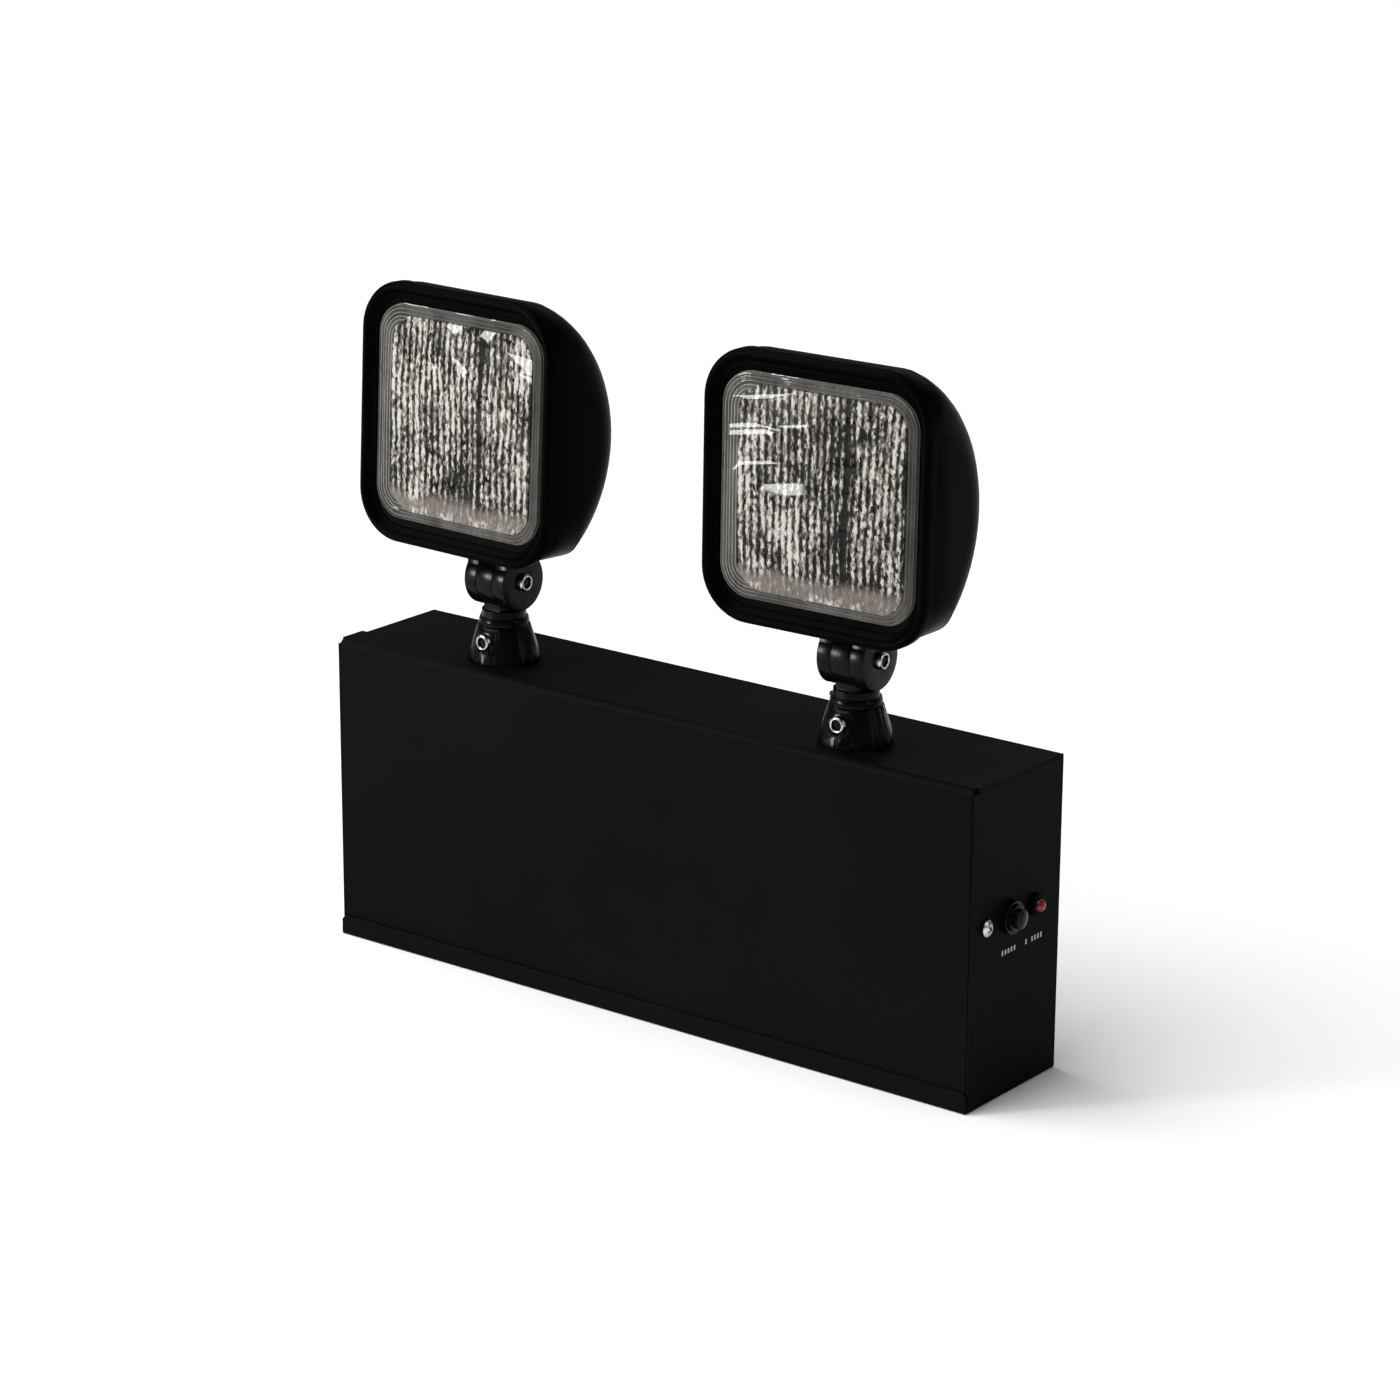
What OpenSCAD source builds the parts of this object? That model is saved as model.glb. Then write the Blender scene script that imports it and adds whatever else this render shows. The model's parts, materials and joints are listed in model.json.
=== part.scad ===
// Two-head emergency light: a sheet steel battery cabinet with two swivelling lamp heads.
// The origin is the centre of the cabinet's flat underside; the front faces -Y and +Z is up.

/* [Cabinet] */
// Width of the cabinet, end to end
cab_w = 368; // [364:1:380]
// Depth of the cabinet, from the wall to the front face
cab_d = 70; // [70:1:76]
// Height of the cabinet, to the top of the cover flange
cab_h = 150; // [150:1:156]
// Thickness of the sheet steel
sheet_t = 1.2; // [1:0.1:1.4]
// Height of the turned-up lip along the front of the bottom
lip_h = 9.5; // [8:0.5:11]
// How far the lip stands proud of the front cover
lip_proud = 1.5; // [1.5:0.1:2]
// Depth of the cover flange that lies on the cabinet's top
flange_d = 17.5; // [16:0.5:18]
// Outside radius of the bend along the cover's top front edge
bend_r = 3; // [2.5:0.5:4]

/* [Necks] */
// Distance between the two neck axes
neck_gap = 204; // [202:1:208]
// Distance of the neck axes behind the front face
neck_back = 26.5; // [26:0.5:28]
// Diameter of the swivel base where it sits on the cabinet
base_d = 34; // [32:1:35]
// Diameter of the swivel base at its top, and of the stem collar
collar_d = 24; // [24:0.5:25]
// Height of the swivel base
base_h = 18.8; // [18:0.2:20]
// Height of the tilt axis above the cabinet's top
tilt_h = 40.2; // [40:0.2:42]
// Radius of the knuckle discs
knuckle_r = 14; // [13:0.5:14.5]

/* [Lamp heads] */
// Width of a lamp head
head_w = 118; // [116:1:122]
// Height of a lamp head
head_h = 123; // [120:1:125]
// Depth of a lamp head, front rim to back
head_d = 60; // [58:1:62]
// Corner radius of the front rim
rim_r = 24; // [20:1:26]
// Width of the lamp opening
open_w = 102; // [98:1:104]
// Height of the lamp opening
open_h = 102; // [98:1:104]
// Distance of the front rim ahead of the tilt axis
head_fwd = 38.5; // [36:0.5:40]
// Height of the head's middle above the tilt axis
head_up = 78; // [77:0.5:81]
// Turn of the left head about its neck, towards the right
left_pan = -2.5; // [-6:0.5:6]
// Upward tilt of the left head
left_tilt = 3; // [0:1:6]
// Turn of the right head about its neck, towards the right
right_pan = 1.5; // [-6:0.5:14]
// Upward tilt of the right head
right_tilt = 1; // [0:1:6]

/* [Battery] */
// Width of the battery
batt_w = 151; // [140:1:151]
// Depth of the battery
batt_d = 50; // [45:1:50]
// Height of the battery's case
batt_h = 94; // [90:1:96]

/* [Hidden] */
$fn = 48;

t = sheet_t;
fit = 0.3;                       // gap between sheet parts that slide past each other
y_front = -cab_d / 2;            // front face of the cover
y_back = cab_d / 2;              // back face, against the wall
top_z = cab_h - t;               // top of the housing, under the cover flange
inner_x = cab_w / 2 - t;         // inside face of an end plate
neck_x = neck_gap / 2;
neck_y = y_front + neck_back;
pivot_z = top_z + tilt_h;
wall_hole_x = 127;               // half the distance between the wall screw holes
wall_hole_z = 122;
wall_hole_r = 3;
entry_x = 60;                    // cable entry in the back
entry_z = 40;
entry_r = 11.1;
side_z = 84;                     // height of the switch, lamp and cover screws
screw_y = y_front + 11;
switch_y = y_front + 29.5;
pilot_y = y_front + 49.5;
button_r = 4.5;
run = 0.05;                      // radial clearance of a turning or sliding fit

post_r = 8;                      // pan post of the stem
spigot_r = 7;                    // threaded spigot of the swivel base
spigot_l = 14;
screw_lock_z = 11.5;             // height of the set screw on the swivel base
washer_t = 0.8;
collar_z = base_h + washer_t + 0.1;
collar_t = 2.5;
tongue_t = 10;
ear_t = 7;
ear_gap = tongue_t + 0.5;
ear_x = ear_gap / 2 + ear_t;     // outer face of an ear
tilt_r = 3;
bow_r = 70;                      // radius of the head's bowed back
bow_y = bow_r - head_d;          // centre of that bow, ahead of the rim
bow_z = head_up - 5;             // its height above the tilt axis
skin = 1.5;                      // how far the shell sits inside the rim
side_r = 24;                     // rounding from the sides into the back
bow_steps = 24;                  // flats along the bowed back
side_steps = 9;                  // flats round its edge
bezel_d = 9;
dish_d = 34;                     // depth of the reflector dish
wall_s = 2;                      // wall of the lamp shell
board_x = 20;
board_z = 72;
board_w = 82;
board_h = 60;
board_y = y_back - t - 9.6;      // front face of the board
core_x = 130;
core_w = 57;
core_h = 48;
core_d = 25;
batt_x = -166;

black = [0.06, 0.06, 0.065];
steel = [0.72, 0.73, 0.75];
zinc = [0.62, 0.63, 0.64];

// ---- shared shapes ----

// A box between two corners
module slab(a, b) { translate(a) cube(b - a); }

// A rounded rectangle standing in the X-Z plane, from y0 back to y1
module face_prism(w, h, r, y0, y1) {
    translate([0, y1, 0]) rotate([90, 0, 0]) linear_extrude(y1 - y0) {
        square([w - 2 * r, h], center = true);
        square([w, h - 2 * r], center = true);
        for (sx = [-1, 1], sz = [-1, 1]) translate([sx * (w / 2 - r), sz * (h / 2 - r)]) circle(r);
    }
}

// A pan-head screw along Z, its head above zero, its shank below, with a cross recess
module pan_screw(head_r, head_l, shank_r, shank_l) {
    difference() {
        union() {
            intersection() {
                cylinder(r = head_r, h = head_l);
                translate([0, 0, head_l - 1.6 * head_r]) sphere(r = 1.6 * head_r);
            }
            translate([0, 0, -shank_l]) cylinder(r = shank_r, h = shank_l + 0.1);
        }
        for (a = [45, 135]) rotate([0, 0, a])
            translate([-0.55 * head_r, -0.12 * head_r, 0.45 * head_l])
                cube([1.1 * head_r, 0.24 * head_r, head_l]);
    }
}

// A hexagon nut along Z, standing on zero
module hex_nut(flats, thick, bore_r) {
    difference() {
        cylinder(d = flats / cos(30), h = thick, $fn = 6);
        translate([0, 0, -1]) cylinder(r = bore_r, h = thick + 2);
    }
}

module ring(outer_r, inner_r, thick) {
    difference() {
        cylinder(r = outer_r, h = thick);
        translate([0, 0, -1]) cylinder(r = inner_r, h = thick + 2);
    }
}

// Children placed at both ends of the cabinet, pointing outwards along X
module both_ends() {
    translate([cab_w / 2, 0, 0]) children();
    mirror([1, 0, 0]) translate([cab_w / 2, 0, 0]) children();
}

// Children placed at both neck axes on the housing's top
module both_necks() {
    for (s = [-1, 1]) translate([s * neck_x, neck_y, top_z]) children();
}

function unit(v) = v / norm(v);
function along(p, i) = unit(p[min(i + 1, len(p) - 1)] - p[max(i - 1, 0)]);
function side_of(d) = unit(cross(d, [0.31, 0.87, 0.38]));
function rim_point(p, i, r, a) = let (d = along(p, i), u = side_of(d)) p[i] + r * (cos(a) * u + sin(a) * cross(d, u));

// A point on the smooth curve through four route points
function curve_at(a, b, c, d, f) =
    0.5 * (2 * b + (c - a) * f + (2 * a - 5 * b + 4 * c - d) * f * f + (3 * b - a - 3 * c + d) * f * f * f);
function smooth(p, n = 4) = let (last = len(p) - 1) concat(
    [for (i = [0 : last - 1], j = [0 : n - 1])
        curve_at(p[max(i - 1, 0)], p[i], p[i + 1], p[min(i + 2, last)], j / n)], [p[last]]);

// An insulated lead swept along its route
module lead(route, r, sides = 8) {
    p = smooth(route);
    rows = len(p);
    points = [for (i = [0 : rows - 1], k = [0 : sides - 1]) rim_point(p, i, r, k * 360 / sides)];
    walls = [for (i = [0 : rows - 2], k = [0 : sides - 1]) let (m = (k + 1) % sides)
        [i * sides + k, i * sides + m, (i + 1) * sides + m, (i + 1) * sides + k]];
    ends = [[for (k = [sides - 1 : -1 : 0]) k], [for (k = [0 : sides - 1]) (rows - 1) * sides + k]];
    polyhedron(points, concat(walls, ends));
}

// ---- cabinet ----

// Flat back with two wall screw holes and the cable entry
module back_panel() {
    color(black) difference() {
        slab([-cab_w / 2, y_back - t, t], [cab_w / 2, y_back, top_z - t]);
        for (s = [-1, 1]) translate([s * wall_hole_x, y_back + 1, wall_hole_z])
            rotate([90, 0, 0]) cylinder(r = wall_hole_r, h = t + 2);
        translate([entry_x, y_back + 1, entry_z]) rotate([90, 0, 0]) cylinder(r = entry_r, h = t + 2);
    }
}

// Bottom with a lip turned up along its front edge
module bottom_tray() {
    color(black) difference() {
        union() {
            slab([-cab_w / 2, y_front - lip_proud, 0], [cab_w / 2, y_back, t]);
            slab([-cab_w / 2, y_front - lip_proud, 0], [cab_w / 2, y_front - fit, lip_h]);
        }
        // small cut corners at the two ends of the lip
        for (s = [-1, 1]) translate([s * cab_w / 2, y_front, lip_h]) rotate([0, 45, 0])
            cube([3, 8, 3], center = true);
    }
}

// Top that carries the two necks, with a stiffening flange behind the cover
module top_panel() {
    color(black) difference() {
        union() {
            slab([-cab_w / 2, y_front + bend_r, top_z - t], [cab_w / 2, y_back, top_z]);
            slab([-inner_x + 6, y_front + bend_r, top_z - 12], [inner_x - 6, y_front + bend_r + t, top_z]);
        }
        both_necks() translate([0, 0, -2 * t]) cylinder(r = spigot_r + 0.2, h = 4 * t);
    }
}

// One end plate, drawn at the right end, with flanges folded into the cabinet
module end_plate(holes = false) {
    difference() {
        union() {
            slab([-t, y_front + 0.2, t], [0, y_back - t, top_z - t]);
            slab([-10, y_back - 2 * t, t], [0, y_back - t, top_z - t]);
            slab([-10, y_front + 20, t], [0, y_back - t, 2 * t]);
            slab([-10, y_front + 20, top_z - 2 * t], [0, y_back - t, top_z - t]);
        }
        translate([-2 * t, screw_y, side_z]) rotate([0, 90, 0]) cylinder(r = 2.2, h = 4 * t);
        if (holes) {
            translate([-2 * t, switch_y, side_z]) rotate([0, 90, 0]) cylinder(r = 6.2, h = 4 * t);
            translate([-2 * t, pilot_y, side_z]) rotate([0, 90, 0]) cylinder(r = 4.1, h = 4 * t);
        }
    }
}

module left_end_plate() { color(black) mirror([1, 0, 0]) translate([cab_w / 2, 0, 0]) end_plate(); }
module right_end_plate() { color(black) translate([cab_w / 2, 0, 0]) end_plate(holes = true); }

// Front panel, bent over at the top into a flange that lies on the housing
module front_cover() {
    half = inner_x - fit;
    color(black) difference() {
        union() {
            slab([-half, y_front, t + 0.4], [half, y_front + t, cab_h - bend_r]);
            translate([-half, y_front + bend_r, cab_h - bend_r]) rotate([90, 0, 90]) linear_extrude(2 * half)
                intersection() {
                    difference() { circle(bend_r); circle(bend_r - t); }
                    translate([-bend_r, 0]) square(bend_r);
                }
            slab([-half, y_front + bend_r, top_z], [half, y_front + flange_d, cab_h]);
            slab([-cab_w / 2, y_front + bend_r + 0.5, top_z], [cab_w / 2, y_front + flange_d, cab_h]);
            for (s = [-1, 1]) slab([s * half - (s > 0 ? t : 0), y_front, 4],
                [s * half + (s > 0 ? 0 : t), y_front + 17, top_z - 14]);
        }
        for (s = [-1, 1]) translate([s * neck_x, neck_y, top_z - 1])
            cylinder(r = base_d / 2 + 0.8, h = 4 * t);
        both_ends() translate([-4 * t, screw_y, side_z]) rotate([0, 90, 0]) cylinder(r = 2.2, h = 6 * t);
    }
}

module cover_screws() {
    color(steel) both_ends() translate([0, screw_y, side_z]) rotate([0, 90, 0]) pan_screw(4, 2.8, 1.9, 12);
}

// Clip nuts on the cover's side flanges
module cover_nuts() {
    color(zinc) both_ends() translate([-2 * t - fit - 3.2, screw_y, side_z]) rotate([0, 90, 0])
        hex_nut(7, 3.2, 1.95);
}

// ---- inside the cabinet ----

module battery_case() {
    color([0.16, 0.17, 0.19]) difference() {
        slab([batt_x, y_back - t - batt_d, t], [batt_x + batt_w, y_back - t, t + batt_h]);
        // joint line of the lid
        difference() {
            slab([batt_x - 1, y_back - batt_d - 3, batt_h - 14], [batt_x + batt_w + 1, y_back, batt_h - 13]);
            slab([batt_x + 1, y_back - t - batt_d + 1, batt_h - 15],
                [batt_x + batt_w - 1, y_back - t - 1, batt_h - 12]);
        }
    }
}

module battery_terminals() {
    color(steel) for (x = [batt_x + 14, batt_x + batt_w - 14])
        slab([x - 3.2, 0, t + batt_h], [x + 3.2, 0.8, t + batt_h + 7.9]);
}

// Steel strap over the battery, with a foot at the front and a tab on the back
module battery_strap() {
    y0 = y_back - t - batt_d;
    z1 = t + batt_h;
    x0 = batt_x + batt_w / 2 - 10;
    color(zinc) difference() {
        union() {
            slab([x0, y0 - t, z1], [x0 + 20, y_back - t, z1 + t]);
            slab([x0, y0 - t, t], [x0 + 20, y0, z1 + t]);
            slab([x0, y0 - 13, t], [x0 + 20, y0, 2 * t]);
            slab([x0, y_back - 2 * t, z1], [x0 + 20, y_back - t, z1 + 16]);
        }
        translate([x0 + 10, y0 - 7, 0]) cylinder(r = 2.1, h = 6);
        translate([x0 + 10, y_back, z1 + 9]) rotate([90, 0, 0]) cylinder(r = 2.1, h = 6);
    }
}

module strap_screws() {
    x = batt_x + batt_w / 2;
    color(steel) {
        translate([x, y_back - t - batt_d - 7, 2 * t]) pan_screw(3.6, 2.4, 1.9, t);
        translate([x, y_back - 2 * t, t + batt_h + 9]) rotate([90, 0, 0]) pan_screw(3.6, 2.4, 1.9, t);
    }
}

// Children placed at the four corners of the charger board
module board_corners() {
    for (x = [5, board_w - 5], z = [5, board_h - 5])
        translate([board_x + x, board_y, board_z + z]) rotate([90, 0, 0]) children();
}

module charger_board() {
    color([0.1, 0.32, 0.16]) difference() {
        slab([board_x, board_y, board_z], [board_x + board_w, board_y + 1.6, board_z + board_h]);
        board_corners() translate([0, 0, -4]) cylinder(r = 1.7, h = 8);
    }
}

module board_standoffs() {
    color(zinc) board_corners() translate([0, 0, -9.6]) ring(3, 1.55, 8);
}

module board_screws() {
    color(steel) board_corners() pan_screw(2.8, 2, 1.5, 6);
}

// Relay, capacitors and the terminal strip on the board's face
module board_parts() {
    y = board_y;
    color([0.2, 0.2, 0.22]) {
        slab([board_x + 12, y - 16, board_z + 34], [board_x + 31, y, board_z + 50]);
        for (x = [42, 57]) translate([board_x + x, y, board_z + 44]) rotate([90, 0, 0]) cylinder(r = 6.3, h = 20);
        slab([board_x + 12, y - 11, board_z + 8], [board_x + 52, y, board_z + 18]);
    }
}

module heat_sink() {
    x0 = board_x + 58;
    color([0.7, 0.71, 0.73]) {
        slab([x0, board_y - 3, board_z + 10], [x0 + 17.5, board_y, board_z + 32]);
        for (i = [0 : 5]) slab([x0 + i * 3.2, board_y - 16, board_z + 10], [x0 + 1.5 + i * 3.2, board_y - 2, board_z + 32]);
    }
}

// Laminated core with two windows
module transformer_core() {
    leg = core_w / 6;
    color([0.35, 0.34, 0.33]) difference() {
        slab([core_x - core_w / 2, -core_d / 2, t], [core_x + core_w / 2, core_d / 2, t + core_h]);
        for (s = [-1, 1]) translate([core_x + s * 1.5 * leg, 0, t + core_h / 2])
            cube([leg, 2 * core_d, core_h - 2 * leg], center = true);
    }
}

module transformer_coil() {
    leg = core_w / 6;
    color([0.62, 0.35, 0.14]) translate([core_x, 0, t + core_h / 2]) difference() {
        cube([4 * leg - 1, core_d + 16, core_h - 2 * leg - 1], center = true);
        cube([2 * leg + 0.4, core_d + 0.4, core_h], center = true);
    }
}

module transformer_bracket() {
    x1 = core_w / 2;
    color(zinc) difference() {
        union() {
            slab([core_x - x1 - 1, -9, t], [core_x - x1, 9, t + core_h + 1]);
            slab([core_x + x1, -9, t], [core_x + x1 + 1, 9, t + core_h + 1]);
            slab([core_x - x1 - 1, -9, t + core_h], [core_x + x1 + 1, 9, t + core_h + 1]);
            slab([core_x - x1 - 12, -9, t], [core_x - x1, 9, t + 1]);
            slab([core_x + x1, -9, t], [core_x + x1 + 12, 9, t + 1]);
        }
        for (s = [-1, 1]) translate([core_x + s * (x1 + 7), 0, 0]) cylinder(r = 2, h = 6);
    }
}

module bracket_screws() {
    color(steel) for (s = [-1, 1]) translate([core_x + s * (core_w / 2 + 7), 0, t + 1])
        pan_screw(3.2, 2.2, 1.8, 1);
}

// ---- test switch and pilot lamp in the right end plate ----

// Switch block inside the cabinet, with a bush through the plate
module switch_body() {
    color([0.12, 0.12, 0.13]) translate([cab_w / 2, switch_y, side_z]) rotate([0, 90, 0]) difference() {
        union() {
            translate([-7, -7, -t - 18]) cube([14, 14, 18]);
            translate([0, 0, -t]) cylinder(r = 6, h = t + 4.5);
        }
        translate([0, 0, -t - 12]) cylinder(r = button_r + run, h = 30);
    }
}

module switch_nut() {
    color([0.1, 0.1, 0.1]) translate([cab_w / 2, switch_y, side_z]) rotate([0, 90, 0])
        ring(7.6, 6.05, 3);
}

// Push button that slides in the bush
module test_button() {
    color([0.08, 0.08, 0.08]) translate([cab_w / 2, switch_y, side_z]) rotate([0, 90, 0]) {
        translate([0, 0, -t - 8]) cylinder(r = button_r, h = t + 15);
        translate([0, 0, 7]) intersection() {
            translate([0, 0, -5]) cylinder(r = button_r, h = 6);
            translate([0, 0, -9]) sphere(r = 10);
        }
    }
}

module pilot_bezel() {
    color(steel) translate([cab_w / 2, pilot_y, side_z]) rotate([0, 90, 0]) {
        difference() {
            union() {
                cylinder(r = 5.2, h = 2.4);
                translate([0, 0, -10]) cylinder(r = 4, h = 11);
            }
            translate([0, 0, -11]) cylinder(r = 3.2, h = 20);
        }
    }
}

module pilot_lens() {
    color([0.75, 0.12, 0.1]) translate([cab_w / 2, pilot_y, side_z]) rotate([0, 90, 0]) {
        translate([0, 0, -9]) cylinder(r = 3.1, h = 11.4);
        translate([0, 0, 2.4]) sphere(r = 3.1);
    }
}

// ---- leads ----

module battery_leads() {
    color([0.7, 0.08, 0.06]) {
        lead([[batt_x + 14, 0.4, 106], [batt_x + 14, 0.4, 114], [batt_x + 30, -2, 122], [-80, -4, 118],
            [-20, -4, 112], [20, 2, 100], [board_x + 16, 6, board_z + 22], [board_x + 18, 10, board_z + 18.5]], 1.3);
        lead([[batt_x + batt_w - 14, 0.4, 106], [batt_x + batt_w - 14, 0.4, 112], [-20, -1, 110], [4, 0, 96],
            [20, 4, 92], [board_x + 22, 6, board_z + 20], [board_x + 24, 10, board_z + 18.5]], 1.3);
    }
}

// Leads from the hollow swivel bases down to the terminal strip
module lamp_leads() {
    z0 = top_z - spigot_l;
    color([0.85, 0.85, 0.82]) {
        lead([[-neck_x, neck_y, z0], [-neck_x, neck_y, z0 - 8], [-neck_x + 20, neck_y - 4, z0 - 16],
            [-40, -12, 112], [0, -12, 98], [20, -4, 90], [board_x + 30, 4, board_z + 12],
            [board_x + 31, board_y - 11, board_z + 12]], 1.1);
        lead([[neck_x, neck_y, z0], [neck_x, neck_y, z0 - 8], [neck_x, neck_y, z0 - 20],
            [neck_x - 4, -8, 100], [neck_x - 20, -4, 84], [board_x + 42, 4, board_z + 12],
            [board_x + 41, board_y - 11, board_z + 12]], 1.1);
    }
}

module switch_leads() {
    x1 = cab_w / 2 - t - 18;
    color([0.1, 0.2, 0.6]) {
        lead([[x1, switch_y, side_z], [x1 - 8, switch_y, side_z - 2], [145, -2, 74], [120, 2, 66],
            [90, 4, 68], [board_x + 50, 8, board_z + 2], [board_x + 48, 12, board_z + 8]], 1);
        lead([[cab_w / 2 - 10, pilot_y, side_z], [cab_w / 2 - 20, pilot_y, side_z - 4], [150, 14, 72], [120, 16, 64],
            [90, 12, 62], [board_x + 46, 12, board_z - 2], [board_x + 44, 14, board_z + 8]], 1);
    }
}

module neck_lock_nuts() {
    color(zinc) both_necks() translate([0, 0, -t - 1.2 - 4]) hex_nut(22, 4, spigot_r + run);
}

module neck_lock_washers() {
    color(steel) both_necks() translate([0, 0, -t - 1.2]) ring(12, spigot_r + 0.2, 1.2);
}

// ---- necks, drawn about a neck axis on the housing's top ----

module swivel_base() {
    difference() {
        rotate_extrude() polygon([[4, -spigot_l], [spigot_r, -spigot_l], [spigot_r, 0], [base_d / 2, 0],
            [base_d / 2, 3.5], [collar_d / 2 + 0.4, base_h - 0.6], [collar_d / 2 - 0.2, base_h],
            [post_r + run, base_h], [post_r + run, 3.2], [4, 3.2]]);
        translate([0, 0, screw_lock_z]) rotate([90, 0, 0]) cylinder(r = 2, h = 30);
        // flat seat under the screw's head
        translate([0, -13.5, screw_lock_z]) rotate([90, 0, 0]) cylinder(r = 4.4, h = 10);
    }
}

module base_screw() {
    translate([0, -13.5, screw_lock_z]) rotate([90, 0, 0]) pan_screw(3.9, 2.6, 1.95, 5.7);
}

// Post, collar and the flat tongue that the knuckle grips
module stem() {
    difference() {
        union() {
            rotate_extrude() polygon([[0, 3.6], [post_r, 3.6], [post_r, screw_lock_z - 2.4],
                [post_r - 1, screw_lock_z - 2.4], [post_r - 1, screw_lock_z + 2.4], [post_r, screw_lock_z + 2.4],
                [post_r, collar_z], [collar_d / 2 - 0.4, collar_z], [collar_d / 2, collar_z + 0.4],
                [collar_d / 2 - 0.5, collar_z + collar_t - 0.4], [collar_d / 2 - 0.9, collar_z + collar_t],
                [0, collar_z + collar_t]]);
            translate([0, 0, collar_z]) cylinder(r = 10.5, h = tilt_h - knuckle_r - 0.6 - collar_z);
            // stop tab of the pan swivel
            slab([-collar_d / 2 - 1.2, -2, collar_z], [-collar_d / 2 + 2, 2, collar_z + collar_t - 0.6]);
            intersection() {
                translate([-tongue_t / 2, 0, 0]) rotate([90, 0, 90]) linear_extrude(tongue_t) {
                    translate([-8.5, collar_z]) square([17, tilt_h - collar_z]);
                    translate([0, tilt_h]) circle(knuckle_r);
                }
                union() {
                    cylinder(r = collar_d / 2 - 0.8, h = collar_z + 6);
                    slab([-20, -20, collar_z + 4.5], [20, 20, tilt_h + 20]);
                }
            }
        }
        translate([-20, 0, tilt_h]) rotate([0, 90, 0]) cylinder(r = tilt_r + run, h = 40);
    }
}

// ---- lamp head, drawn about its tilt axis, facing -Y ----

// Side view of the shell, grown by g and drawn in by o: from the front over the bowed back
function side_view(g, o, from) = let (h = head_h / 2 - skin + g - o, r = bow_r + g - o,
    a1 = asin((head_up + h - bow_z) / r), a2 = asin((head_up - h - bow_z) / r)) concat(
    [[-head_fwd + from, head_up + h]],
    [for (i = [0 : bow_steps]) let (a = a1 + (a2 - a1) * i / bow_steps)
        [-head_fwd - bow_y + r * cos(a), bow_z + r * sin(a)]],
    [[-head_fwd + from, head_up - h]]);

// Outside of the shell, grown by g, from a depth behind the rim: its side view, rounded into both sides
module head_form(g = 0, from = bezel_d - 2) {
    w = head_w / 2 - skin + g;
    r = side_r - skin + g;
    half = [for (i = [0 : side_steps]) let (a = 90 * i / side_steps) [w - r * (1 - cos(a)), r * (1 - sin(a))]];
    rows = concat([for (p = half) [-p[0], p[1]]], [for (i = [side_steps : -1 : 0]) half[i]]);
    n = bow_steps + 3;
    last = len(rows) - 1;
    points = [for (row = rows, p = side_view(g, row[1], from)) [row[0], p[0], p[1]]];
    walls = [for (k = [0 : last - 1], i = [0 : n - 1]) let (m = (i + 1) % n, a = k * n, b = a + n)
        each [[a + i, a + m, b + m], [a + i, b + m, b + i]]];
    polyhedron(points, concat(walls, [[for (i = [n - 1 : -1 : 0]) i]], [[for (i = [0 : n - 1]) last * n + i]]));
}

module shell() {
    difference() {
        head_form();
        head_form(-wall_s, 0);
    }
}

module bezel() {
    y0 = -head_fwd;
    translate([0, 0, head_up]) difference() {
        union() {
            face_prism(head_w - 1.6, head_h - 1.6, rim_r - 0.8, y0, y0 + 1);
            face_prism(head_w, head_h, rim_r, y0 + 0.8, y0 + bezel_d - 2);
        }
        face_prism(open_w, open_h, 17, y0 - 1, y0 + bezel_d);
        // seat for the lens and its gasket
        face_prism(open_w + 6, open_h + 6, 19, y0 + 5.5, y0 + bezel_d);
        // groove between the outer lip and the inner ring
        difference() {
            face_prism(head_w - 10, head_h - 10, rim_r - 5, y0 - 1, y0 + 1.2);
            face_prism(head_w - 12, head_h - 12, rim_r - 6, y0 - 2, y0 + 2);
        }
    }
}

module gasket() {
    y0 = -head_fwd + bezel_d - 2;
    translate([0, 0, head_up]) difference() {
        face_prism(open_w + 5, open_h + 5, 18.5, y0, y0 + 2);
        face_prism(open_w - 3, open_h - 3, 16, y0 - 1, y0 + 3);
    }
}

module lens() {
    y0 = -head_fwd;
    translate([0, 0, head_up]) {
        face_prism(open_w + 5, open_h + 5, 18.5, y0 + 5.5, y0 + bezel_d - 2);
        face_prism(open_w - 0.6, open_h - 0.6, 16.5, y0 + 3.5, y0 + 6);
    }
}

// Pressed dish with a square rim
module reflector() {
    y0 = -head_fwd + bezel_d;
    n = 10;
    mouth = 48;
    dish = [for (i = [0 : n]) let (r = 9 + (mouth - 9) * i / n) [r, dish_d * (1 - pow((r - 9) / (mouth - 9), 1.7))]];
    translate([0, y0, head_up]) {
        difference() {
            face_prism(open_w + 2, open_h + 2, 18, 0, 1);
            rotate([90, 0, 0]) cylinder(r = mouth - 0.2, h = 6, center = true);
        }
        rotate([-90, 0, 0]) rotate_extrude() polygon(concat(dish, [for (i = [n : -1 : 0]) dish[i] + [0.4, 1]]));
    }
}

module socket() {
    y0 = -head_fwd + bezel_d + dish_d;
    translate([0, y0, head_up]) rotate([-90, 0, 0]) difference() {
        translate([0, 0, -2]) cylinder(r = 8.8, h = 8);
        translate([0, 0, -3]) cylinder(r = 4.6, h = 7);
    }
}

module bulb() {
    y0 = -head_fwd + bezel_d + dish_d;
    translate([0, y0, head_up]) rotate([-90, 0, 0]) {
        translate([0, 0, -4]) cylinder(r = 4.5, h = 7.9);
        translate([0, 0, -10]) sphere(r = 5.5);
        translate([0, 0, -8]) cylinder(r = 3.8, h = 5);
    }
}

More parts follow.
